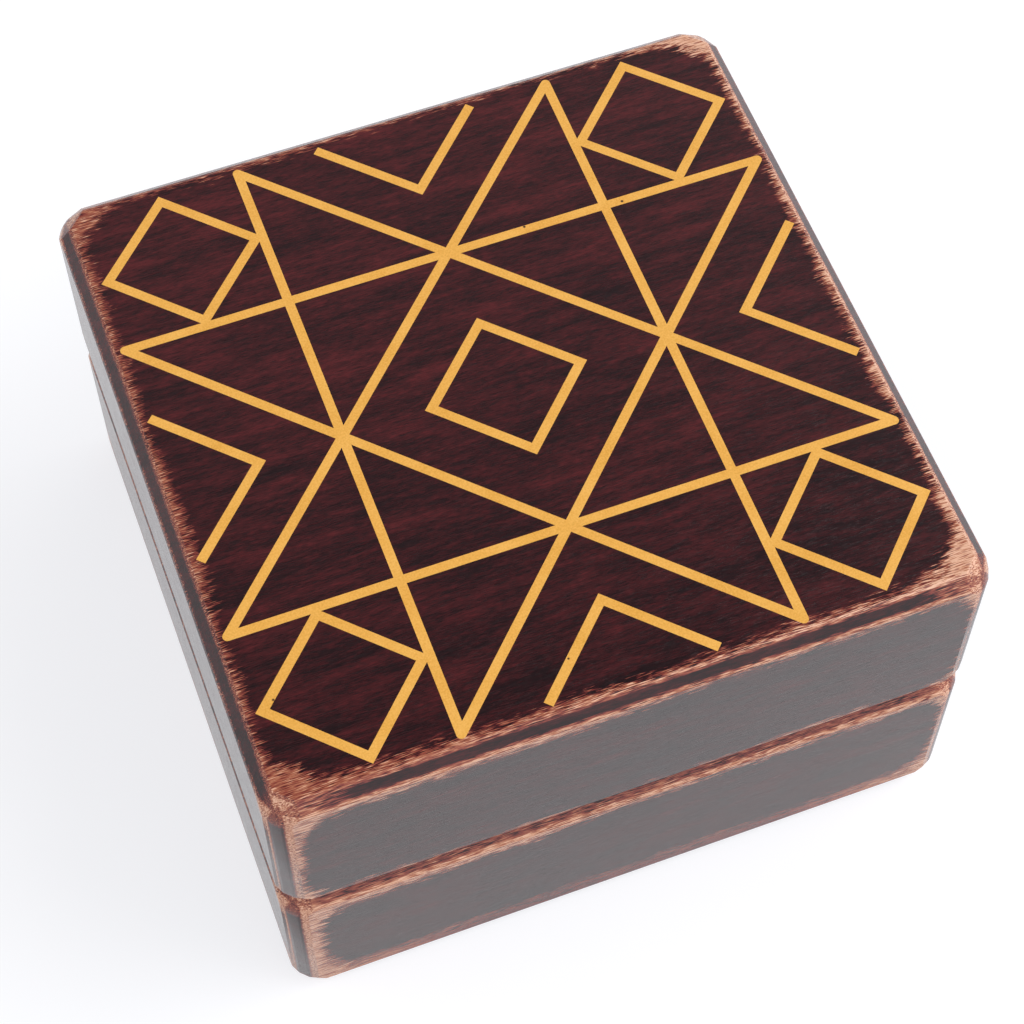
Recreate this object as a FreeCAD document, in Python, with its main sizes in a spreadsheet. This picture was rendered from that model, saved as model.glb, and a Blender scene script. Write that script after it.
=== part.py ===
import FreeCAD, Part
import math
import os
import Sketcher

# Driving sizes in millimetres: name, value, meaning
SIZES = [
    ("box_width", 100, "outside of the box, left to right"),
    ("box_depth", 100, "outside of the box, front to back"),
    ("base_height", 30, "foot to seam"),
    ("lid_height", 30, "seam to top"),
    ("wall", 9, "side walls of both milled halves"),
    ("floor_thick", 6, "wood left under the base cavity"),
    ("top_thick", 6, "wood left over the lid cavity"),
    ("cavity_radius", 8, "upright inner corners, left by the cutter"),
    ("rim_ease", 0.6, "small chamfer round the mouth of each cavity"),
    ("corner_chamfer", 1.6, "upright outer corners"),
    ("seam_chamfer", 2, "both edges at the seam, a V groove when shut"),
    ("top_chamfer", 1.8, "upper edge of the lid"),
    ("foot_chamfer", 1.8, "lower edge of the base"),
    ("corner_ease", 0.588, "sanding of the upright corners, outside their chamfer"),
    ("arris_ease", 0.25, "sanding of the other outer edges"),
    ("line_width", 1.35, "inlay lines and their grooves"),
    ("line_depth", 1.5, "inlay lines and their grooves"),
    ("motif_margin", 0.8, "plain wood between the inlay and the top chamfer"),
    ("felt_thick", 1.5, "felt on the base's floor"),
    ("felt_clearance", 0.3, "felt edge to the cavity wall"),
    ("hinge_spacing", 52, "between the middles of the two hinges"),
    ("hinge_length", 16, "leaves along the seam"),
    ("hinge_inset", 1.4, "back of the box to the hinge axis"),
    ("leaf_thick", 0.8, "hinge leaves"),
    ("leaf_gap", 0.2, "between the shut leaves"),
    ("leaf_land", 1.2, "wood between the leaf and the cavity"),
    ("leaf_clearance", 0.1, "leaf edge to its mortise"),
    ("knuckle_radius", 1.3, "outside of the hinge barrel"),
    ("knuckle_gap", 0.15, "end play between knuckles"),
    ("middle_knuckle", 6, "length of the lid leaf's knuckle"),
    ("barrel_clearance", 0.3, "barrel to the wood and to the other leaf"),
    ("pin_radius", 0.65, "hinge pin"),
    ("pin_clearance", 0.05, "running fit in the lid leaf's knuckle"),
    ("pin_proud", 0.3, "pin ends past the barrel"),
    ("screw_spacing", 9, "between the two screws of a leaf"),
    ("screw_head_radius", 1.35, "countersunk heads, as deep as the leaf"),
    ("screw_shank_radius", 0.55, "screw shanks"),
    ("screw_length", 5, "face of the head to the end of the shank"),
    ("magnet_spacing", 60, "between the two catch magnets of a half"),
    ("magnet_radius", 2, "catch magnets"),
    ("magnet_thick", 2, "catch magnets"),
    ("magnet_clearance", 0.05, "magnet to its bore"),
    ("magnet_recess", 0.1, "magnet face below the rim"),
]

# Lengths and places that follow from the driving sizes
CAVITY_WIDTH = "(dims.box_width - 2 * dims.wall)"
CAVITY_DEPTH = "(dims.box_depth - 2 * dims.wall)"
BASE_CAVITY = "(dims.base_height - dims.floor_thick)"
LID_CAVITY = "(dims.lid_height - dims.top_thick)"
PITCH = (
    "((min(dims.box_width; dims.box_depth) / 2 - dims.top_chamfer"
    " - dims.motif_margin - dims.line_width / 2) / 2)"
)
INLAY_BED = "(dims.base_height + dims.lid_height - dims.line_depth)"
AXIS_Y = "(dims.box_depth / 2 - dims.hinge_inset)"
LEAF_REACH = "(dims.wall - dims.hinge_inset - dims.leaf_land)"
LEAF_BACK = "(dims.knuckle_radius + dims.barrel_clearance)"
LEAF_TOP = "(dims.leaf_gap / 2)"
LEAF_BED = "(dims.leaf_gap / 2 + dims.leaf_thick)"
LEAF_MIDDLE = f"(({LEAF_REACH} + {LEAF_BACK}) / 2)"
RELIEF_LENGTH = "(dims.hinge_length + 2 * dims.pin_proud + 2 * dims.barrel_clearance)"
MAGNET_Y = "((dims.seam_chamfer + dims.wall - dims.rim_ease) / 2 - dims.box_depth / 2)"
MAGNET_BORE = "(dims.magnet_thick + dims.magnet_recess)"
SCREW_END = "-dims.screw_length"

# Half section of a countersunk head, from the middle of its face to the shank
SCREW_HEAD = [("0", "0"), ("dims.screw_head_radius", "0"), ("dims.screw_shank_radius", "-dims.leaf_thick")]

UPWARD = FreeCAD.Vector(0, 0, 1)
FLIPPED = FreeCAD.Rotation(FreeCAD.Vector(0, 1, 0), 180)
TINY = 1e-4


# How a sketch numbers its origin and the points of its lines and arcs
class Vertex:
    ORIGIN = -1
    START = 1
    END = 2
    CENTRE = 3


doc = FreeCAD.newDocument("inlaid_box")
sheet = doc.addObject("Spreadsheet::Sheet", "dims")
for row, (alias, value, meaning) in enumerate(SIZES, start=1):
    sheet.set(f"A{row}", meaning)
    sheet.set(f"B{row}", str(value))
    sheet.setAlias(f"B{row}", alias)
doc.recompute()


def number(expression):
    return float(sheet.evalExpression(expression))


def new_body(label):
    body = doc.addObject("PartDesign::Body", label)
    body.Label = label
    body.AllowCompound = True
    return body


def datum(body, role):
    return next(item for item in body.Origin.OriginFeatures if item.Role == role)


def new_sketch(body, name, role="XY_Plane", x="0", y="0", z="0"):
    sketch = body.newObject("Sketcher::SketchObject", name)
    sketch.AttachmentSupport = [(datum(body, role), "")]
    sketch.MapMode = "FlatFace"
    sketch.setExpression("AttachmentOffset.Base.x", x)
    sketch.setExpression("AttachmentOffset.Base.y", y)
    sketch.setExpression("AttachmentOffset.Base.z", z)
    return sketch


def bind(sketch, kind, places, expression):
    index = sketch.addConstraint(Sketcher.Constraint(kind, *places, number(expression)))
    sketch.setExpression(f"Constraints[{index}]", expression)


def fix_point(sketch, geometry, vertex, x, y):
    bind(sketch, "DistanceX", (Vertex.ORIGIN, Vertex.START, geometry, vertex), x)
    bind(sketch, "DistanceY", (Vertex.ORIGIN, Vertex.START, geometry, vertex), y)


# A closed outline through corners that are pairs of expressions
def polygon(sketch, corners):
    points = [FreeCAD.Vector(number(x), number(y), 0) for x, y in corners]
    lines = []
    for start, end in zip(points, points[1:] + points[:1]):
        lines.append(sketch.addGeometry(Part.LineSegment(start, end), False))
    for line, following in zip(lines, lines[1:] + lines[:1]):
        sketch.addConstraint(Sketcher.Constraint("Coincident", line, Vertex.END, following, Vertex.START))
    for line, (x, y) in zip(lines, corners):
        fix_point(sketch, line, Vertex.START, x, y)


def rectangle(sketch, left, right, near, far):
    polygon(sketch, [(left, near), (right, near), (right, far), (left, far)])


def centred_rectangle(sketch, width, depth):
    rectangle(sketch, f"-{width} / 2", f"{width} / 2", f"-{depth} / 2", f"{depth} / 2")


def circle(sketch, x, y, radius):
    ring = Part.Circle(FreeCAD.Vector(number(x), number(y), 0), UPWARD, number(radius))
    index = sketch.addGeometry(ring, False)
    fix_point(sketch, index, Vertex.CENTRE, x, y)
    bind(sketch, "Radius", (index,), radius)


# A line with round ends, as a cutter leaves it
def slot(sketch, start, end, width):
    radius = f"{width} / 2"
    first = FreeCAD.Vector(number(start[0]), number(start[1]), 0)
    last = FreeCAD.Vector(number(end[0]), number(end[1]), 0)
    along = math.atan2(last.y - first.y, last.x - first.x)
    side = FreeCAD.Vector(-math.sin(along), math.cos(along), 0) * number(radius)
    quarter = math.pi / 2
    far_end = Part.ArcOfCircle(Part.Circle(last, UPWARD, number(radius)), along - quarter, along + quarter)
    near_end = Part.ArcOfCircle(
        Part.Circle(first, UPWARD, number(radius)), along + quarter, along + 3 * quarter
    )
    left = sketch.addGeometry(Part.LineSegment(first + side, last + side), False)
    right = sketch.addGeometry(Part.LineSegment(last - side, first - side), False)
    far = sketch.addGeometry(far_end, False)
    near = sketch.addGeometry(near_end, False)
    for arc, arc_vertex, line, line_vertex in (
        (far, Vertex.END, left, Vertex.END),
        (far, Vertex.START, right, Vertex.START),
        (near, Vertex.START, left, Vertex.START),
        (near, Vertex.END, right, Vertex.END),
    ):
        sketch.addConstraint(Sketcher.Constraint("Tangent", arc, arc_vertex, line, line_vertex))
    fix_point(sketch, near, Vertex.CENTRE, *start)
    fix_point(sketch, far, Vertex.CENTRE, *end)
    sketch.addConstraint(Sketcher.Constraint("Equal", near, far))
    bind(sketch, "Radius", (near,), radius)


def extrude(body, kind, sketch, length, reverse):
    feature = body.newObject(f"PartDesign::{kind}", f"{sketch.Name}_{kind}")
    feature.Profile = sketch
    feature.setExpression("Length", length)
    feature.Reversed = reverse
    doc.recompute()
    return feature


def pad(body, sketch, length, reverse=False):
    return extrude(body, "Pad", sketch, length, reverse)


# A pocket cuts behind its sketch, or in front of it when reversed
def pocket(body, sketch, length, reverse=False):
    before = body.Shape.Volume
    feature = extrude(body, "Pocket", sketch, length, reverse)
    if body.Shape.Volume > before - TINY:
        raise RuntimeError(f"{sketch.Name} cuts nothing")
    return feature


def revolve(body, kind, sketch):
    feature = body.newObject(f"PartDesign::{kind}", f"{sketch.Name}_{kind}")
    feature.Profile = sketch
    feature.ReferenceAxis = (sketch, ["V_Axis"])
    feature.Angle = 360
    doc.recompute()
    return feature


def dress(body, kind, chosen, size, expression):
    base = body.Tip
    names = [f"Edge{i}" for i, edge in enumerate(base.Shape.Edges, start=1) if chosen(edge.BoundBox)]
    feature = body.newObject(f"PartDesign::{kind}", f"{body.Name}_{kind}")
    feature.Base = (base, names)
    feature.setExpression(size, expression)
    doc.recompute()


def chamfer(body, chosen, expression):
    dress(body, "Chamfer", chosen, "Size", expression)


def fillet(body, chosen, expression):
    dress(body, "Fillet", chosen, "Radius", expression)


def is_any_level(box):
    return box.ZLength < TINY


def is_upright(box):
    return box.XLength + box.YLength < TINY < box.ZLength


def is_level(z):
    return lambda box: abs(box.ZMin - z) < TINY and abs(box.ZMax - z) < TINY


def is_in_cavity(box):
    half_width = number(CAVITY_WIDTH) / 2 + TINY
    half_depth = number(CAVITY_DEPTH) / 2 + TINY
    return max(box.XMax, -box.XMin) < half_width and max(box.YMax, -box.YMin) < half_depth


def mirror(body, features):
    pattern = body.newObject("PartDesign::Mirrored", f"{body.Name}_Mirrored")
    pattern.Originals = features
    pattern.MirrorPlane = (datum(body, "YZ_Plane"), [""])
    body.Tip = pattern
    doc.recompute()


def turn_to_four_sides(body, features):
    pattern = body.newObject("PartDesign::PolarPattern", f"{body.Name}_PolarPattern")
    pattern.Originals = features
    pattern.Axis = (datum(body, "Z_Axis"), [""])
    pattern.Angle = 360
    pattern.Occurrences = 4
    body.Tip = pattern
    doc.recompute()


def place(item, x="0", y="0", z="0", flipped=False):
    if flipped:
        item.Placement = FreeCAD.Placement(FreeCAD.Vector(), FLIPPED)
    item.setExpression("Placement.Base.x", x)
    item.setExpression("Placement.Base.y", y)
    item.setExpression("Placement.Base.z", z)
    doc.recompute()
    return item


# One milled half, seam face up at height 0, with its hinge and magnet seats
def milled_half(label, height, cavity_depth, outer_chamfer):
    body = new_body(label)
    outline = new_sketch(body, f"{label}_outline")
    centred_rectangle(outline, "dims.box_width", "dims.box_depth")
    pad(body, outline, height, reverse=True)
    chamfer(body, is_upright, "dims.corner_chamfer")
    chamfer(body, is_upright, "dims.corner_ease")
    chamfer(body, is_level(0), "dims.seam_chamfer")
    chamfer(body, is_level(-number(height)), outer_chamfer)
    chamfer(body, is_any_level, "dims.arris_ease")

    cavity = new_sketch(body, f"{label}_cavity")
    centred_rectangle(cavity, CAVITY_WIDTH, CAVITY_DEPTH)
    pocket(body, cavity, cavity_depth)
    fillet(body, lambda box: is_upright(box) and is_in_cavity(box), "dims.cavity_radius")
    chamfer(body, lambda box: is_level(0)(box) and is_in_cavity(box), "dims.rim_ease")

    mortise = new_sketch(body, f"{label}_mortise", x="-dims.hinge_spacing / 2", y=AXIS_Y)
    half_length = "(dims.hinge_length / 2 + dims.leaf_clearance)"
    rectangle(mortise, f"-{half_length}", half_length, f"-{LEAF_REACH} - dims.leaf_clearance", "0")
    relief = new_sketch(
        body, f"{label}_relief", "YZ_Plane", x=AXIS_Y, z=f"-(dims.hinge_spacing + {RELIEF_LENGTH}) / 2"
    )
    circle(relief, "0", "0", LEAF_BACK)
    pilots = new_sketch(body, f"{label}_pilots", x="-dims.hinge_spacing / 2", y=AXIS_Y, z=f"-{LEAF_BED}")
    for side in ("-", ""):
        circle(pilots, f"{side}dims.screw_spacing / 2", f"-{LEAF_MIDDLE}", "dims.screw_shank_radius")
    bore = new_sketch(body, f"{label}_bore", x="-dims.magnet_spacing / 2", y=MAGNET_Y)
    circle(bore, "0", "0", "dims.magnet_radius + dims.magnet_clearance")
    seats = [
        pocket(body, mortise, LEAF_BED),
        pocket(body, pilots, "dims.screw_length - dims.leaf_thick"),
        pocket(body, relief, RELIEF_LENGTH, reverse=True),
        pocket(body, bore, MAGNET_BORE),
    ]
    mirror(body, seats)
    return body


# One hinge leaf about the hinge axis, its plate below; knuckles are spans along the axis
def hinge_leaf(label, bore_radius, knuckle_start, knuckle_length, both_ends):
    body = new_body(label)
    plate = new_sketch(body, f"{label}_plate", "YZ_Plane", z="-dims.hinge_length / 2")
    rectangle(plate, f"-{LEAF_REACH}", f"-{LEAF_BACK}", f"-{LEAF_BED}", f"-{LEAF_TOP}")
    pad(body, plate, "dims.hinge_length")
    sink = new_sketch(
        body, f"{label}_sink", "XZ_Plane", x="-dims.screw_spacing / 2", y=f"-{LEAF_TOP}", z=LEAF_MIDDLE
    )
    polygon(sink, SCREW_HEAD + [("0", "-dims.leaf_thick")])
    repeated = [revolve(body, "Groove", sink)]

    roll = new_sketch(body, f"{label}_roll", "YZ_Plane", z=knuckle_start)
    circle(roll, "0", "0", "dims.knuckle_radius")
    web = new_sketch(body, f"{label}_web", "YZ_Plane", z=knuckle_start)
    rectangle(web, f"-{LEAF_BACK}", "0", f"-{LEAF_BED}", f"-{LEAF_TOP}")
    bore = new_sketch(body, f"{label}_bore", "YZ_Plane", z=knuckle_start)
    circle(bore, "0", "0", bore_radius)
    knuckle = [
        pad(body, roll, knuckle_length),
        pad(body, web, knuckle_length),
        pocket(body, bore, knuckle_length, reverse=True),
    ]
    if both_ends:
        repeated += knuckle
    mirror(body, repeated)
    return body


def base_leaf(label):
    end_knuckle = "((dims.hinge_length - dims.middle_knuckle) / 2 - dims.knuckle_gap)"
    return hinge_leaf(label, "dims.pin_radius", "-dims.hinge_length / 2", end_knuckle, True)


def lid_leaf(label):
    bore_radius = "dims.pin_radius + dims.pin_clearance"
    return hinge_leaf(label, bore_radius, "-dims.middle_knuckle / 2", "dims.middle_knuckle", False)


def hinge_pin(label):
    body = new_body(label)
    length = "(dims.hinge_length + 2 * dims.pin_proud)"
    section = new_sketch(body, f"{label}_section", "YZ_Plane", z=f"-{length} / 2")
    circle(section, "0", "0", "dims.pin_radius")
    pad(body, section, length)
    return body


# Countersunk screws for one half's two leaves, heads up at the leaf's face
def leaf_screws(label):
    body = new_body(label)
    section = new_sketch(
        body,
        f"{label}_section",
        "XZ_Plane",
        x="-(dims.hinge_spacing + dims.screw_spacing) / 2",
        y=f"-{LEAF_TOP}",
        z=f"{LEAF_MIDDLE} - {AXIS_Y}",
    )
    polygon(section, SCREW_HEAD + [("dims.screw_shank_radius", SCREW_END), ("0", SCREW_END)])
    screw = revolve(body, "Revolution", section)
    pattern = body.newObject("PartDesign::MultiTransform", f"{label}_MultiTransform")
    pattern.Originals = [screw]
    steps = []
    for name, spacing in (("pair", "dims.screw_spacing"), ("hinges", "dims.hinge_spacing")):
        step = body.newObject("PartDesign::LinearPattern", f"{label}_{name}")
        step.Direction = (datum(body, "X_Axis"), [""])
        step.setExpression("Length", spacing)
        step.Occurrences = 2
        steps.append(step)
    pattern.Transformations = steps
    body.Tip = pattern
    doc.recompute()
    return body


# The two catch magnets of one half, their faces just below the seam
def catch_magnets(label):
    body = new_body(label)
    disc = new_sketch(body, f"{label}_disc", x="-dims.magnet_spacing / 2", y=MAGNET_Y, z=f"-{MAGNET_BORE}")
    circle(disc, "0", "0", "dims.magnet_radius")
    mirror(body, [pad(body, disc, "dims.magnet_thick")])
    return body


# The felt glued to the floor of the base
def felt_lining(label):
    body = new_body(label)
    outline = new_sketch(body, f"{label}_outline", z=f"-{BASE_CAVITY}")
    width = f"({CAVITY_WIDTH} - 2 * dims.felt_clearance)"
    depth = f"({CAVITY_DEPTH} - 2 * dims.felt_clearance)"
    centred_rectangle(outline, width, depth)
    pad(body, outline, "dims.felt_thick")
    fillet(body, is_upright, "dims.cavity_radius - dims.felt_clearance")
    return body


# Inlay outlines, placed in pitches of the motif from the middle of the lid
def pitches(count):
    return f"{count} * {PITCH}"


def straight_line(sketch, start, end):
    slot(sketch, [pitches(count) for count in start], [pitches(count) for count in end], "dims.line_width")


def lozenge(sketch, x, y):
    outer = f"{PITCH} / 2"
    inner = f"({outer} - sqrt(2) * dims.line_width)"
    for reach in (outer, inner):
        sides = ((f"{pitches(x)} + {reach}", pitches(y)), (f"{pitches(x)} - {reach}", pitches(y)))
        ends = ((pitches(x), f"{pitches(y)} + {reach}"), (pitches(x), f"{pitches(y)} - {reach}"))
        polygon(sketch, [sides[0], ends[0], sides[1], ends[1]])


# A mitred elbow that points at the middle of the lid, its arms cut square
def chevron(sketch, elbow, tip, spread):
    mitre = "dims.line_width / sqrt(2)"
    corner = f"{mitre} / 2"
    polygon(
        sketch,
        [
            (f"{pitches(elbow)} - {mitre}", "0"),
            (f"{pitches(tip)} - {corner}", f"{pitches(spread)} + {corner}"),
            (f"{pitches(tip)} + {corner}", f"{pitches(spread)} - {corner}"),
            (f"{pitches(elbow)} + {mitre}", "0"),
            (f"{pitches(tip)} + {corner}", f"{corner} - {pitches(spread)}"),
            (f"{pitches(tip)} - {corner}", f"-{corner} - {pitches(spread)}"),
        ],
    )


# One inlay; its outlines are drawn once, and turned to the four sides if it has four of each
def inlay(label, outlines, turned=True):
    body = new_body(label)
    routed = []
    for index, (draw, places) in enumerate(outlines, start=1):
        outline = new_sketch(body, f"{label}_outline_{index}", z=INLAY_BED)
        draw(outline, *places)
        routed.append(pad(body, outline, "dims.line_depth"))
    if turned:
        turn_to_four_sides(body, routed)
    return body


def cut(label, base, tools):
    joined = doc.addObject("Part::Compound", f"{label}_tools")
    joined.Links = tools
    result = doc.addObject("Part::Cut", label)
    result.Label = label
    result.Base = base
    result.Tool = joined
    doc.recompute()
    return result


SEAM = "dims.base_height"
base_block = milled_half("base_block", "dims.base_height", BASE_CAVITY, "dims.foot_chamfer")
lid_half = place(
    milled_half("lid_half", "dims.lid_height", LID_CAVITY, "dims.top_chamfer"), z=SEAM, flipped=True
)
base_screws = place(leaf_screws("base_hinge_screws"), z=SEAM)
lid_screws = place(leaf_screws("lid_hinge_screws"), z=SEAM, flipped=True)
star_outlines = [
    (straight_line, ((1, -2), (1, 2))),
    (straight_line, ((-1, 2), (2, -1))),
    (lozenge, (1.5, 1.5)),
]
inlays = [
    inlay("inlay_star", star_outlines),
    inlay("inlay_lozenge", [(lozenge, (0, 0))], turned=False),
    inlay("inlay_chevrons", [(chevron, (1.5, 2, 0.5))]),
]
pieces = [
    place(base_block, z=SEAM),
    cut("lid_block", lid_half, inlays),
    base_screws,
    lid_screws,
    place(catch_magnets("base_magnets"), z=SEAM),
    place(catch_magnets("lid_magnets"), z=SEAM, flipped=True),
    place(felt_lining("base_felt"), z=SEAM),
]
pieces += inlays
for hand, side in (("left", "-"), ("right", "")):
    hinge_x = f"{side}dims.hinge_spacing / 2"
    pieces += [
        place(base_leaf(f"{hand}_hinge_base_leaf"), hinge_x, AXIS_Y, SEAM),
        place(lid_leaf(f"{hand}_hinge_lid_leaf"), hinge_x, AXIS_Y, SEAM, flipped=True),
        place(hinge_pin(f"{hand}_hinge_pin"), hinge_x, AXIS_Y, SEAM),
    ]

doc.recompute()
for item in doc.Objects:
    if "Invalid" in item.State or "Error" in item.State:
        raise RuntimeError(f"{item.Label} failed: {item.State}")
for piece in pieces:
    if piece.Shape.isNull() or not piece.Shape.isValid() or not piece.Shape.Solids:
        raise RuntimeError(f"{piece.Label} has no valid shape")

os.makedirs("parts", exist_ok=True)
for piece in pieces:
    piece.Shape.exportStep(f"parts/{piece.Label}.step")
    print(f"{piece.Label}: {len(piece.Shape.Solids)} solids, {piece.Shape.Volume:.1f} mm3")
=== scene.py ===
import itertools
import math

import bmesh
import bpy
from mathutils import Matrix, Vector, noise


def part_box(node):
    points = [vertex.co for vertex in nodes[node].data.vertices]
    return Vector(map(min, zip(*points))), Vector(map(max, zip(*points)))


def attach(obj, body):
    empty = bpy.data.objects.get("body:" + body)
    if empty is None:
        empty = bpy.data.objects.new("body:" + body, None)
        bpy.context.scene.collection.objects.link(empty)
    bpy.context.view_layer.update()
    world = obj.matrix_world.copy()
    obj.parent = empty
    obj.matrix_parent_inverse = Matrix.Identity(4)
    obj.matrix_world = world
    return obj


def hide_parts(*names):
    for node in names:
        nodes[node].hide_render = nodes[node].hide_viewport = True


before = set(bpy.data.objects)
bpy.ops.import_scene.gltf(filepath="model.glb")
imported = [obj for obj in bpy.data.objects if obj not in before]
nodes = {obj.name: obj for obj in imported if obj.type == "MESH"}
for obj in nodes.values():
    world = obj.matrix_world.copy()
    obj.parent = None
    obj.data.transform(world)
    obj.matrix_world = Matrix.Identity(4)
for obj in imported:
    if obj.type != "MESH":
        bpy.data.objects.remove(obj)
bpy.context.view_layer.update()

MM = 0.001

# Camera at the photograph's angle
CAMERA_PLACE = (-0.066948, -0.181961, 0.360890)
CAMERA_TILT = math.radians(30.05)
CAMERA_TURN = math.radians(-20.42)
CAMERA_LENS = 93.02

# Stage and light
FLOOR_DROP = 0.2 * MM
FLOOR_HALF = 4.0
FLOOR_GREY = 0.40
FLOOR_GLOW = 0.69
FLOOR_TINT = (0.96, 0.965, 1.0, 1.0)
MATT = 1.0
KEY_PLACE = (0.75, -0.30, 0.95)
KEY_SIZE = 0.9
KEY_POWER = 5.1
SKY_DIM = 0.03
SKY_FRONT = 1.1
SKY_BACK = 0.34
SKY_LEFT = 1.0
SKY_RIGHT = 1.6
SKY_HORIZON = 1.0
SKY_TINT = (0.97, 0.985, 1.0, 1.0)

# Where each part of the sky starts and where it is whole, along one axis of its direction
SPAN_FRONT = (0.0, -0.5)
SPAN_BACK = (0.39, 0.50)
SPAN_LEFT = (-0.2, -0.65)
SPAN_RIGHT = (0.22, 0.8)
SPAN_HORIZON = (0.2, 0.05)

# Wood, in millimetres
HALF_SIDE = 50.0
HALF_HEIGHT = 15.0
BASE_MIDDLE = 15.0
LID_MIDDLE = 45.0
LEVEL_CHAMFER = 1.9
CORNER_CHAMFER = 2.5
FACE_SKIN = 0.3

# Planes that round the corners of a half, by their slopes towards the faces
CORNER_ROUND = 4 * MM
UPRIGHT_CUTS = ((2, 1, 0), (1, 1, 0), (1, 2, 0))
TIP_CUTS = ((2, 2, 1), (2, 1, 1), (1, 2, 1), (1, 1, 1), (2, 1, 2), (1, 2, 2), (1, 1, 2))
FLAT_SLOPE = 0.001
SHARP_ANGLE = math.radians(30)
WELD = 0.001 * MM
CUT_MARGIN = 0.0001 * MM

# Felt and screws
FELT_STEPS = 64
FELT_CORNER = 7.7 * MM
FELT_RELIEF = 0.08 * MM
FELT_WAVE = 6 * MM
SCREW_SPACING = 9 * MM
SCREW_SHANK = 0.55 * MM
SCREW_HEAD_DEPTH = 0.8 * MM
SCREW_POINT = 1.2 * MM
SLOT_WIDTH = 0.5 * MM
SLOT_DEPTH = 0.45 * MM
SLOT_TURNS = (0.4, 1.9, 1.1, 2.6)
CUTTER_HEADS = 3
SCREW_SIDES = 32


# Levels from 0 to 255 in sRGB, as linear light
def linear(red, green, blue):
    channels = []
    for value in (red, green, blue):
        share = value / 255
        channels.append(share / 12.92 if share <= 0.04045 else ((share + 0.055) / 1.055) ** 2.4)
    return (*channels, 1.0)


# The node tree of a material or a world, whose inputs are sockets or plain values
class Graph:
    def __init__(self, owner):
        self.owner = owner
        owner.use_nodes = True
        self.tree = owner.node_tree
        self.shader = self.tree.nodes.get("Principled BSDF")

    def feed(self, socket, value):
        if isinstance(value, bpy.types.NodeSocket):
            self.tree.links.new(value, socket)
        else:
            socket.default_value = value

    def node(self, kind, values, **settings):
        made = self.tree.nodes.new(f"ShaderNode{kind}")
        for key, value in settings.items():
            setattr(made, key, value)
        for key, value in values.items():
            self.feed(made.inputs[key], value)
        return made

    def math(self, operation, *values, clamp=False):
        made = self.node("Math", dict(enumerate(values)), operation=operation, use_clamp=clamp)
        return made.outputs[0]

    # 0 at start and 1 at end, with a smooth run between them
    def fade(self, value, start, end):
        limits = {"Value": value, "From Min": start, "From Max": end}
        return self.node("MapRange", limits, interpolation_type="SMOOTHSTEP").outputs["Result"]

    def choose(self, mask, chosen, otherwise):
        if isinstance(chosen, (int, float)) and isinstance(otherwise, (int, float)):
            return self.math("MULTIPLY_ADD", mask, chosen - otherwise, otherwise)
        step = self.math("SUBTRACT", chosen, otherwise)
        return self.math("MULTIPLY_ADD", mask, step, otherwise)

    # Places on the object, in millimetres
    def place(self):
        source = self.node("TexCoord", {}).outputs["Object"]
        return self.node("VectorMath", {0: source, "Scale": 1 / MM}, operation="SCALE").outputs[0]

    # Places counted in the lengths given, in millimetres, and moved so that patterns differ
    def scale(self, place, lengths, shift=0.0):
        shares = [1 / length for length in lengths]
        made = self.node("VectorMath", {0: place, 1: shares, 2: [shift] * 3}, operation="MULTIPLY_ADD")
        return made.outputs[0]

    # Noise whose blotches are about as long as the lengths given
    def noise(self, place, lengths, detail=2.0, roughness=0.5, shift=0.0):
        scaled = self.scale(place, lengths, shift)
        settings = {"Vector": scaled, "Scale": 1.0, "Detail": detail, "Roughness": roughness}
        return self.node("TexNoise", settings).outputs["Fac"]

    # Scattered spots with soft rims, of which the share given is left out
    def some_spots(self, place, pattern, rim, left_out):
        scaled = self.scale(place, **pattern)
        cell = self.node("TexVoronoi", {"Vector": scaled, "Scale": 1.0}).outputs
        chance = self.node("SeparateColor", {0: cell["Color"]}).outputs[0]
        is_kept = self.math("GREATER_THAN", chance, left_out)
        return self.math("MULTIPLY", self.fade(cell["Distance"], *rim), is_kept)

    def ramp(self, factor, stops):
        made = self.node("ValToRGB", {"Fac": factor})
        elements = made.color_ramp.elements
        while len(elements) < len(stops):
            elements.new(0.5)
        for element, (position, colour) in zip(elements, stops):
            element.position = position
            element.color = linear(*colour)
        return made.outputs["Color"]

    def mix(self, factor, first, second):
        made = self.node("Mix", {0: factor, 6: first, 7: second}, data_type="RGBA")
        return made.outputs[2]

    def bump(self, height, strength, distance):
        made = self.node("Bump", {"Height": height, "Strength": strength, "Distance": distance})
        self.feed(self.shader.inputs["Normal"], made.outputs["Normal"])


# Sanding of each half: reach in from each edge and softness in millimetres, chamfers and calm as shares
LID_WEAR = {
    "flat_front": 1.1, "flat_back": 0.2, "flat_left": 0.7, "flat_right": 0.7,
    "front_upper": 1.1, "front_lower": 0.2, "front_left": 1.0, "front_right": 0.2,
    "side_upper": -0.5, "side_lower": -0.4, "side_post": -0.8,
    "upper_chamfer": 0.05, "lower_chamfer": 0.1, "upper_soft": 0.9, "lower_soft": 0.9, "foot_calm": 0.0,
}
BASE_WEAR = {
    "flat_front": 0.6, "flat_back": 0.4, "flat_left": 0.4, "flat_right": 0.4,
    "front_upper": 1.3, "front_lower": 0.8, "front_left": 1.8, "front_right": 0.0,
    "side_upper": -0.2, "side_lower": -0.8, "side_post": -0.8,
    "upper_chamfer": 0.4, "lower_chamfer": 0.3, "upper_soft": 0.9, "lower_soft": 4.5, "foot_calm": 0.7,
}

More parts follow.
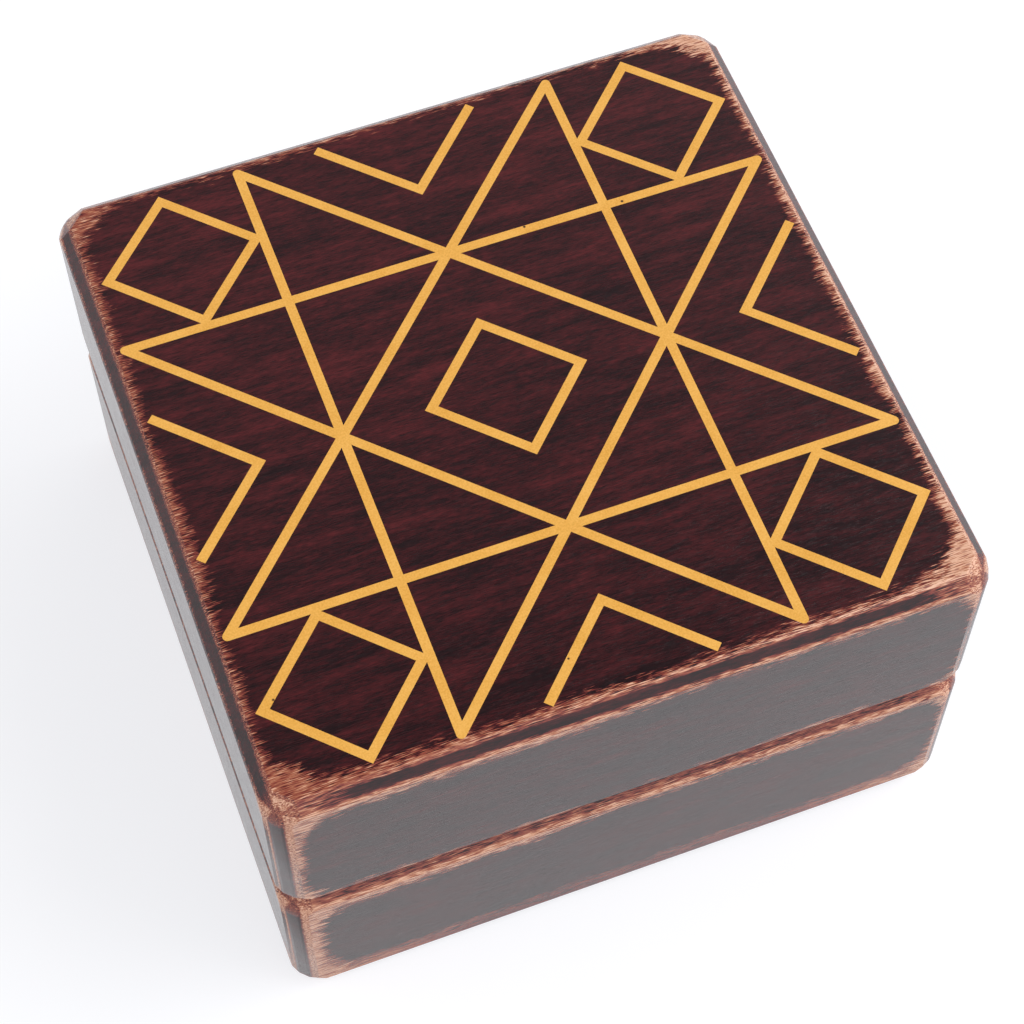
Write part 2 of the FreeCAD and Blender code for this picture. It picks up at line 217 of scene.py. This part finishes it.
# How the sanded bands spread, join at the corners and fade out, in millimetres or as shares
FIELD_ROUND = 5.0
DRIFT = {"lengths": (26.0, 14.0, 14.0), "shift": 7.9}
DRIFT_SPREAD = 3.0
STREAK_SPREAD = 3.0
FIBRE_SPREAD = 2.8
CORNER_SPAN = (14.0, 2.0)
CORNER_SPREAD_FRONT = 1.0
CORNER_SPREAD_BACK = 0.3
CORNER_WEAR = 0.7
STREAK_GAIN = 2.0
ARRIS_SPAN = (-0.7, -0.1)
TIP_SPAN = (7.0, 5.0)
TIP_WEAR = 0.45
SOFT_SPAN = (-12.0, -2.0)
BARE_EDGE = -1.2
GRIT = 2.4
GRIT_SPAN = (0.0, 0.3)
FOOT_SPAN = (-8.0, -13.0)
FOOT_INWARD = (2.0, 30.0)

# How deep the sanding goes on the upright faces, and on the level ones from left to right
DEPTH_UPRIGHT = 0.86
DEPTH_LEFT = 0.56
DEPTH_RIGHT = 0.98

STAIN_RAMP = [
    (0.37, (30, 14, 18)),
    (0.44, (43, 17, 21)),
    (0.49, (54, 19, 23)),
    (0.55, (67, 23, 27)),
    (0.63, (87, 29, 33)),
]

# Painted reflection: how much lighter and redder the stain is painted towards the back, for each
# millimetre
PAINTED_REFLECTION_DRIFT = 0.00065

BARE_RAMP = [
    (0.10, (84, 31, 35)),
    (0.35, (126, 53, 48)),
    (0.60, (160, 89, 67)),
    (0.85, (194, 131, 99)),
    (1.00, (230, 180, 152)),
]
PORE_BROWN = (28, 15, 18)
FLECK_BROWN = (126, 52, 48)

# Patterns of the grain, by their lengths in millimetres
FIGURE = {"lengths": (14.0, 2.2, 2.2), "detail": 3.0, "shift": 5.3}
STREAK = {"lengths": (3.2, 0.6, 0.6), "shift": 3.7}
FIBRE = {"lengths": (1.8, 0.12, 0.12), "shift": 9.1}
THREAD = {"lengths": (1.1, 0.15, 0.15), "shift": 6.1}
PORE = {"lengths": (2.4, 0.18, 0.18), "shift": 1.9}
FLECK = {"lengths": (1.7, 0.5, 0.5), "shift": 2.2}
PORE_SPAN = (0.58, 0.7)
PORE_DEPTH = 0.5
FLECK_SPAN = (0.36, 0.14)
FLECK_RARITY = 0.4
FLECK_DEPTH = 0.6
FIGURE_TONE = 0.36
THREAD_TONE = 0.36
STREAK_TONE = 0.28
STAIN_SPAN = (0.04, 0.3)
LACQUER_ROUGH = 0.13
FIGURE_ROUGH = 0.12
BARE_ROUGH = 0.08
LACQUER_IOR = 1.5
STREAK_RELIEF = 0.4
PORE_RELIEF = -0.6
GRAIN_BUMP = 0.25
BUMP_DEPTH = 0.1 * MM


# How bare each place is, from 0 where the stain is whole to 1
def edge_wear(graph, place, middle, wear, streak, fibre):
    x, y, z = graph.node("SeparateXYZ", {0: place}).outputs
    height = graph.math("SUBTRACT", z, middle)
    depth_x = graph.math("SUBTRACT", HALF_SIDE, graph.math("ABSOLUTE", x))
    depth_y = graph.math("SUBTRACT", HALF_SIDE, graph.math("ABSOLUTE", y))
    depth_z = graph.math("SUBTRACT", HALF_HEIGHT, graph.math("ABSOLUTE", height))
    on_side = graph.math("LESS_THAN", depth_x, FACE_SKIN)
    on_flat = graph.math("LESS_THAN", depth_z, FACE_SKIN)
    is_left = graph.math("LESS_THAN", x, 0.0)
    is_near = graph.math("LESS_THAN", y, 0.0)
    is_upper = graph.math("GREATER_THAN", height, 0.0)
    near_corner = graph.fade(graph.math("MAXIMUM", depth_x, depth_y), *CORNER_SPAN)

    flat_band_x = graph.choose(is_near, wear["flat_front"], wear["flat_back"])
    flat_band_y = graph.choose(is_left, wear["flat_left"], wear["flat_right"])
    front_band = graph.choose(is_upper, wear["front_upper"], wear["front_lower"])
    side_band = graph.choose(is_upper, wear["side_upper"], wear["side_lower"])
    post_band = graph.choose(is_left, wear["front_left"], wear["front_right"])
    band_x = graph.choose(on_flat, flat_band_x, front_band)
    band_y = graph.choose(on_flat, flat_band_y, side_band)
    band_up = graph.choose(on_side, wear["side_post"], post_band)

    spread = 0.0
    drift = graph.noise(place, **DRIFT)
    for pattern, share in ((drift, DRIFT_SPREAD), (streak, STREAK_SPREAD), (fibre, FIBRE_SPREAD)):
        spread = graph.math("MULTIPLY_ADD", graph.math("SUBTRACT", pattern, 0.5), share, spread)
    corner_spread = graph.choose(is_near, CORNER_SPREAD_FRONT, CORNER_SPREAD_BACK)
    corner_spread = graph.math("MULTIPLY", on_flat, corner_spread)
    spread = graph.math("MULTIPLY_ADD", near_corner, corner_spread, spread)

    level_wear = graph.choose(is_upper, wear["upper_chamfer"], wear["lower_chamfer"])
    level_wear = graph.math("MULTIPLY", level_wear, graph.math("MULTIPLY", streak, STREAK_GAIN))
    level_wear = graph.math("MAXIMUM", level_wear, graph.math("MULTIPLY", near_corner, CORNER_WEAR))
    squares = 0.0
    shade = 1.0
    edges = (
        (depth_y, depth_z, LEVEL_CHAMFER, band_x, level_wear),
        (depth_x, depth_z, LEVEL_CHAMFER, band_y, 0.0),
        (depth_x, depth_y, CORNER_CHAMFER, band_up, 0.0),
    )
    for first, second, chamfer, band, chamfer_wear in edges:
        distance = graph.math("SUBTRACT", graph.math("MAXIMUM", first, second), chamfer)
        gap = graph.math("SUBTRACT", distance, graph.math("ADD", band, spread))
        within = graph.math("MAXIMUM", graph.math("SUBTRACT", FIELD_ROUND, gap), 0.0)
        squares = graph.math("MULTIPLY_ADD", within, within, squares)
        arris = graph.fade(distance, *ARRIS_SPAN)
        shade = graph.math("MINIMUM", shade, graph.math("MAXIMUM", arris, chamfer_wear))
    tip = graph.fade(graph.math("ADD", graph.math("ADD", depth_x, depth_y), depth_z), *TIP_SPAN)
    shade = graph.math("MAXIMUM", shade, graph.math("MULTIPLY", tip, TIP_WEAR))
    edge = graph.math("SUBTRACT", FIELD_ROUND, graph.math("SQRT", squares))
    softness = graph.choose(graph.fade(height, *SOFT_SPAN), wear["upper_soft"], wear["lower_soft"])
    worn = graph.math("MULTIPLY", graph.fade(edge, softness, BARE_EDGE), shade)
    depth = graph.choose(graph.fade(x, -HALF_SIDE, HALF_SIDE), DEPTH_RIGHT, DEPTH_LEFT)
    depth = graph.choose(on_flat, depth, DEPTH_UPRIGHT)
    grit = graph.math("MULTIPLY", graph.math("SUBTRACT", fibre, 0.5), graph.fade(worn, *GRIT_SPAN))
    bare = graph.math("MULTIPLY_ADD", grit, GRIT, graph.math("MULTIPLY", worn, depth), clamp=True)
    foot = graph.math("MULTIPLY", graph.fade(height, *FOOT_SPAN), graph.fade(depth_x, *FOOT_INWARD))
    return graph.math("MULTIPLY", bare, graph.math("MULTIPLY_ADD", foot, -wear["foot_calm"], 1.0))


# Stained wood with its grain along X, sanded through at the edges, under satin lacquer
def wood(name, middle, wear):
    graph = Graph(bpy.data.materials.new(name))
    place = graph.place()
    figure = graph.noise(place, **FIGURE)
    streak = graph.noise(place, **STREAK)
    fibre = graph.noise(place, **FIBRE)
    thread = graph.noise(place, **THREAD)
    pore = graph.fade(graph.noise(place, **PORE), *PORE_SPAN)
    worn = edge_wear(graph, place, middle, wear, streak, fibre)

    tone = graph.math("MULTIPLY_ADD", thread, THREAD_TONE, graph.math("MULTIPLY", figure, FIGURE_TONE))
    tone = graph.math("MULTIPLY_ADD", streak, STREAK_TONE, tone)
    # Painted reflection: the stain is painted lighter and redder towards the back
    toward_back = graph.node("SeparateXYZ", {0: place}).outputs["Y"]
    tone = graph.math("MULTIPLY_ADD", toward_back, PAINTED_REFLECTION_DRIFT, tone)
    stain = graph.ramp(tone, STAIN_RAMP)
    stain = graph.mix(graph.math("MULTIPLY", pore, PORE_DEPTH), stain, linear(*PORE_BROWN))
    fleck = graph.some_spots(place, FLECK, FLECK_SPAN, FLECK_RARITY)
    bare = graph.ramp(worn, BARE_RAMP)
    bare = graph.mix(graph.math("MULTIPLY", fleck, FLECK_DEPTH), bare, linear(*FLECK_BROWN))
    colour = graph.mix(graph.fade(worn, *STAIN_SPAN), stain, bare)
    graph.feed(graph.shader.inputs["Base Color"], colour)

    rough = graph.math("MULTIPLY_ADD", figure, FIGURE_ROUGH, LACQUER_ROUGH)
    rough = graph.math("MULTIPLY_ADD", worn, BARE_ROUGH, rough)
    graph.feed(graph.shader.inputs["Roughness"], rough)
    graph.shader.inputs["IOR"].default_value = LACQUER_IOR
    relief = graph.math("MULTIPLY_ADD", streak, STREAK_RELIEF, fibre)
    relief = graph.math("MULTIPLY_ADD", pore, PORE_RELIEF, relief)
    graph.bump(relief, GRAIN_BUMP, BUMP_DEPTH)
    return graph.owner


RESIN_RAMP = [
    (0.3, (222, 158, 64)),
    (0.5, (236, 174, 80)),
    (0.7, (246, 187, 96)),
]
PIT_BROWN = (60, 34, 22)
CLOUD = {"lengths": (6.0, 6.0, 6.0), "detail": 3.0}
RESIN_GRAIN = {"lengths": (0.25, 0.25, 0.25), "detail": 1.0, "shift": 8.2}
RIPPLE = {"lengths": (0.8, 0.8, 0.8)}
PIT = {"lengths": (7.0, 7.0, 7.0)}
PIT_SPAN = (0.04, 0.02)
PIT_RARITY = 0.6
CLOUD_TONE = 0.4
GRAIN_TONE = 0.6
RESIN_ROUGH = 0.2
CLOUD_ROUGH = 0.2
RESIN_IOR = 1.5
RESIN_BUMP = 0.1


# Mustard resin, flush with the wood, with a few small dark pits
def resin(name):
    graph = Graph(bpy.data.materials.new(name))
    place = graph.place()
    cloud = graph.noise(place, **CLOUD)
    grain = graph.noise(place, **RESIN_GRAIN)
    mottle = graph.math("MULTIPLY_ADD", grain, GRAIN_TONE, graph.math("MULTIPLY", cloud, CLOUD_TONE))
    pit = graph.some_spots(place, PIT, PIT_SPAN, PIT_RARITY)
    colour = graph.mix(pit, graph.ramp(mottle, RESIN_RAMP), linear(*PIT_BROWN))
    graph.feed(graph.shader.inputs["Base Color"], colour)
    rough = graph.math("MULTIPLY_ADD", cloud, CLOUD_ROUGH, RESIN_ROUGH)
    graph.feed(graph.shader.inputs["Roughness"], rough)
    graph.shader.inputs["IOR"].default_value = RESIN_IOR
    graph.bump(graph.math("SUBTRACT", graph.noise(place, **RIPPLE), pit), RESIN_BUMP, BUMP_DEPTH)
    return graph.owner


TARNISH = {"lengths": (5.0, 5.0, 5.0), "shift": 4.4}
TARNISH_SPAN = (0.3, 0.7)
RUB_DETAIL = 3.0
RUB_ROUGH = 0.15
RUB_BUMP = 0.03
RUB_DEPTH = 0.05 * MM


# Metal with faint rubbing marks, as long each way as the lengths given
def metal(name, dark, light, rough, marks):
    graph = Graph(bpy.data.materials.new(name))
    place = graph.place()
    rub = graph.noise(place, marks, detail=RUB_DETAIL)
    tarnish = graph.noise(place, **TARNISH)
    colour = graph.ramp(tarnish, list(zip(TARNISH_SPAN, (dark, light))))
    graph.feed(graph.shader.inputs["Base Color"], colour)
    graph.feed(graph.shader.inputs["Roughness"], graph.math("MULTIPLY_ADD", rub, RUB_ROUGH, rough))
    graph.shader.inputs["Metallic"].default_value = 1.0
    graph.bump(rub, RUB_BUMP, RUB_DEPTH)
    return graph.owner


FELT_RAMP = [
    (0.4, (30, 18, 19)),
    (0.6, (76, 46, 44)),
]
FUZZ = {"lengths": (0.35, 0.35, 0.35), "detail": 4.0, "roughness": 0.7}
MATTING = {"lengths": (4.0, 4.0, 4.0), "detail": 3.0, "shift": 6.6}
FUZZ_TONE = 0.8
MATTING_TONE = 0.2
FELT_ROUGH = 0.95
FELT_SHEEN = 0.35
FELT_SHEEN_ROUGH = 0.5
FUZZ_BUMP = 0.6
FUZZ_DEPTH = 0.2 * MM


# Pressed wool, matt, with a soft sheen
def felt_cloth(name):
    graph = Graph(bpy.data.materials.new(name))
    place = graph.place()
    fuzz = graph.noise(place, **FUZZ)
    matting = graph.noise(place, **MATTING)
    tone = graph.math("MULTIPLY_ADD", fuzz, FUZZ_TONE, graph.math("MULTIPLY", matting, MATTING_TONE))
    graph.feed(graph.shader.inputs["Base Color"], graph.ramp(tone, FELT_RAMP))
    graph.shader.inputs["Roughness"].default_value = FELT_ROUGH
    graph.shader.inputs["Sheen Weight"].default_value = FELT_SHEEN
    graph.shader.inputs["Sheen Roughness"].default_value = FELT_SHEEN_ROUGH
    graph.bump(fuzz, FUZZ_BUMP, FUZZ_DEPTH)
    return graph.owner


def link(name, mesh, material):
    piece = bpy.data.objects.new(name, mesh)
    bpy.context.scene.collection.objects.link(piece)
    mesh.materials.append(material)
    return piece


# One half of the box, its corners rounded further than the chamfers of its solid
def rounded_block(body, node, material):
    low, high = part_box(node)
    middle = (low + high) / 2
    inner = (high - low) / 2 - Vector((CORNER_ROUND, CORNER_ROUND, CORNER_ROUND))
    made = bmesh.new()
    made.from_mesh(nodes[node].data)
    bmesh.ops.remove_doubles(made, verts=made.verts, dist=WELD)
    for side in itertools.product((-1, 1), repeat=3):
        # An upright edge is cut once, from its upper end
        is_upper = side[2] > 0
        cuts = UPRIGHT_CUTS + TIP_CUTS if is_upper else TIP_CUTS
        for slopes in cuts:
            outward = Vector(slope * sign for slope, sign in zip(slopes, side))
            outward.normalize()
            centre = middle + Vector(reach * sign for reach, sign in zip(inner, side))
            touch = centre + outward * CORNER_ROUND
            parts = made.verts[:] + made.edges[:] + made.faces[:]
            cut = bmesh.ops.bisect_plane(
                made, geom=parts, dist=CUT_MARGIN, plane_co=touch, plane_no=outward, clear_outer=True
            )
            rim = [item for item in cut["geom_cut"] if isinstance(item, bmesh.types.BMEdge)]
            bmesh.ops.holes_fill(made, edges=rim, sides=0)
    made.normal_update()
    for face in made.faces:
        face.smooth = min(abs(face.normal.x), abs(face.normal.y)) > FLAT_SLOPE
    for edge in made.edges:
        edge.smooth = edge.calc_face_angle(0) < SHARP_ANGLE
    mesh = bpy.data.meshes.new(f"{node}_rounded")
    made.to_mesh(mesh)
    made.free()
    mesh.attributes.remove(mesh.attributes["custom_normal"])
    block = link(f"{node}_rounded", mesh, material)
    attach(block, body)
    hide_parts(node)


# The distance to the edge of a round-cornered square, as a share of that to a sharp one's, towards a point
def corner_share(x, y, half, radius):
    reach = math.hypot(x, y)
    middle = half - radius
    if min(abs(x), abs(y)) * half <= max(abs(x), abs(y)) * middle or reach == 0:
        return 1.0
    toward = (abs(x) + abs(y)) * middle / reach
    rounded = toward + math.sqrt(toward ** 2 - 2 * middle ** 2 + radius ** 2)
    return rounded * max(abs(x), abs(y)) / (half * reach)


# The felt pad on the floor of the base, a sheet with a slightly uneven face
def felt_pad(material):
    low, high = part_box("base_felt")
    half = (high.x - low.x) / 2
    thick = high.z - low.z
    made = bmesh.new()
    bmesh.ops.create_grid(made, x_segments=FELT_STEPS, y_segments=FELT_STEPS, size=half)
    for vertex in made.verts:
        share = corner_share(vertex.co.x, vertex.co.y, half, FELT_CORNER)
        vertex.co.x *= share
        vertex.co.y *= share
        bump = noise.noise(Vector((vertex.co.x, vertex.co.y, 0)) / FELT_WAVE)
        vertex.co.z = high.z - FELT_RELIEF + FELT_RELIEF * bump
    mesh = bpy.data.meshes.new("felt_pad")
    made.to_mesh(mesh)
    made.free()
    for face in mesh.polygons:
        face.use_smooth = True
    pad = link("felt_pad", mesh, material)
    solidify = pad.modifiers.new("thickness", "SOLIDIFY")
    solidify.thickness = thick - 2 * FELT_RELIEF
    solidify.offset = -1
    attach(pad, "base")
    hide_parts("base_felt")


# One countersunk screw, still without its slot, its face up at height 0
def screw_mesh(name, head, length):
    made = bmesh.new()
    outline = [
        (0, 0),
        (head, 0),
        (SCREW_SHANK, -SCREW_HEAD_DEPTH),
        (SCREW_SHANK, SCREW_POINT - length),
        (0, -length),
    ]
    verts = [made.verts.new((x, 0, z)) for x, z in outline]
    edges = [made.edges.new(pair) for pair in zip(verts, verts[1:])]
    bmesh.ops.spin(
        made, geom=verts + edges, cent=(0, 0, 0), axis=(0, 0, 1), angle=math.tau, steps=SCREW_SIDES
    )
    bmesh.ops.remove_doubles(made, verts=made.verts, dist=WELD)
    bmesh.ops.recalc_face_normals(made, faces=made.faces)
    mesh = bpy.data.meshes.new(name)
    made.to_mesh(mesh)
    made.free()
    return mesh


def slot_cutter(name, head):
    made = bmesh.new()
    bmesh.ops.create_cube(made, size=1)
    for vertex in made.verts:
        vertex.co.x *= CUTTER_HEADS * head
        vertex.co.y *= SLOT_WIDTH
        vertex.co.z *= 2 * SLOT_DEPTH
    mesh = bpy.data.meshes.new(name)
    made.to_mesh(mesh)
    made.free()
    return mesh


def cut_slot(mesh, head):
    body = bpy.data.objects.new("screw_body", mesh)
    cutter = bpy.data.objects.new("screw_slot", slot_cutter("screw_slot", head))
    for item in (body, cutter):
        bpy.context.scene.collection.objects.link(item)
    cut = body.modifiers.new("slot", "BOOLEAN")
    cut.object = cutter
    cut.operation = "DIFFERENCE"
    cut.solver = "EXACT"
    shown = body.evaluated_get(bpy.context.evaluated_depsgraph_get())
    slotted = bpy.data.meshes.new_from_object(shown)
    for item in (body, cutter):
        bpy.data.objects.remove(item)
    return slotted


# The four screws of one half, as one piece, each slot at its own angle
def hinge_screws(body, node, leaves, material):
    low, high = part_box(node)
    head = (high.y - low.y) / 2
    is_lid = body == "lid"
    single = cut_slot(screw_mesh(node, head, high.z - low.z), head)
    face_up = Matrix.Rotation(math.pi if is_lid else 0, 4, "X")
    joined = bmesh.new()
    turns = iter(SLOT_TURNS)
    for leaf in leaves:
        leaf_low, leaf_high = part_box(leaf)
        middle = (leaf_low.x + leaf_high.x) / 2
        for side in (-1, 1):
            x = middle + side * SCREW_SPACING / 2
            seat = Matrix.Translation((x, (low.y + high.y) / 2, low.z if is_lid else high.z))
            placed = single.copy()
            placed.transform(seat @ face_up @ Matrix.Rotation(next(turns), 4, "Z"))
            joined.from_mesh(placed)
            bpy.data.meshes.remove(placed)
    bmesh.ops.recalc_face_normals(joined, faces=joined.faces)
    mesh = bpy.data.meshes.new(f"{node}_slotted")
    joined.to_mesh(mesh)
    joined.free()
    screws = link(f"{node}_slotted", mesh, material)
    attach(screws, body)
    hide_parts(node)


def paint(material, *names):
    for name in names:
        mesh = nodes[name].data
        mesh.materials.clear()
        mesh.materials.append(material)


def floor():
    graph = Graph(bpy.data.materials.new("floor"))
    graph.shader.inputs["Base Color"].default_value = (FLOOR_GREY, FLOOR_GREY, FLOOR_GREY, 1)
    graph.shader.inputs["Roughness"].default_value = MATT
    graph.shader.inputs["Specular IOR Level"].default_value = 0.0
    path = graph.node("LightPath", {}).outputs
    seen = graph.math("MAXIMUM", path["Is Camera Ray"], path["Is Glossy Ray"])
    seen = graph.math("MAXIMUM", seen, path["Is Transmission Ray"])
    graph.shader.inputs["Emission Color"].default_value = FLOOR_TINT
    graph.feed(graph.shader.inputs["Emission Strength"], graph.math("MULTIPLY", seen, FLOOR_GLOW))
    made = bmesh.new()
    bmesh.ops.create_grid(made, x_segments=1, y_segments=1, size=FLOOR_HALF)
    mesh = bpy.data.meshes.new("floor")
    made.to_mesh(mesh)
    made.free()
    plane = link("floor", mesh, graph.owner)
    plane.location.z = -FLOOR_DROP


# A pale sky, bright at the front, the sides and the horizon, weaker at the back and dim overhead
def sky():
    graph = Graph(bpy.data.worlds.new("studio"))
    bpy.context.scene.world = graph.owner
    direction = graph.node("TexCoord", {}).outputs["Generated"]
    x, y, z = graph.node("SeparateXYZ", {0: direction}).outputs
    light = graph.choose(graph.fade(y, *SPAN_BACK), SKY_BACK, SKY_DIM)
    light = graph.choose(graph.fade(y, *SPAN_FRONT), SKY_FRONT, light)
    light = graph.choose(graph.fade(x, *SPAN_LEFT), SKY_LEFT, light)
    light = graph.choose(graph.fade(x, *SPAN_RIGHT), SKY_RIGHT, light)
    light = graph.choose(graph.fade(z, *SPAN_HORIZON), SKY_HORIZON, light)
    background = graph.tree.nodes["Background"].inputs
    graph.feed(background["Strength"], light)
    background["Color"].default_value = SKY_TINT


def key_light():
    lamp = bpy.data.lights.new("key", "AREA")
    lamp.shape = "DISK"
    lamp.size = KEY_SIZE
    lamp.energy = KEY_POWER
    key = bpy.data.objects.new("key", lamp)
    key.location = KEY_PLACE
    key.rotation_euler = (-Vector(KEY_PLACE)).to_track_quat("-Z", "Y").to_euler()
    bpy.context.scene.collection.objects.link(key)


def camera():
    lens = bpy.data.cameras.new("camera")
    lens.lens = CAMERA_LENS
    eye = bpy.data.objects.new("camera", lens)
    eye.location = CAMERA_PLACE
    eye.rotation_euler = (CAMERA_TILT, 0, CAMERA_TURN)
    bpy.context.scene.collection.objects.link(eye)
    bpy.context.scene.camera = eye


bpy.context.scene.view_settings.view_transform = "Standard"
camera()
sky()
key_light()
floor()

brass = metal("brass", dark=(190, 142, 72), light=(222, 180, 104), rough=0.2, marks=(8.0, 0.2, 0.2))
screw_brass = metal(
    "screw_brass", dark=(138, 96, 48), light=(170, 124, 68), rough=0.25, marks=(2.0, 2.0, 2.0)
)
nickel = metal("nickel", dark=(196, 194, 190), light=(214, 212, 206), rough=0.2, marks=(3.0, 0.4, 3.0))
rounded_block("lid", "lid_block", wood("lid_wood", LID_MIDDLE, LID_WEAR))
rounded_block("base", "base_block", wood("base_wood", BASE_MIDDLE, BASE_WEAR))
paint(resin("inlay"), "inlay_star", "inlay_lozenge", "inlay_chevrons")
paint(brass, *(name for name in nodes if "_hinge_" in name))
paint(nickel, "base_magnets", "lid_magnets")
felt_pad(felt_cloth("felt"))
for body in ("base", "lid"):
    leaves = [f"{hand}_hinge_{body}_leaf" for hand in ("left", "right")]
    hinge_screws(body, f"{body}_hinge_screws", leaves, screw_brass)
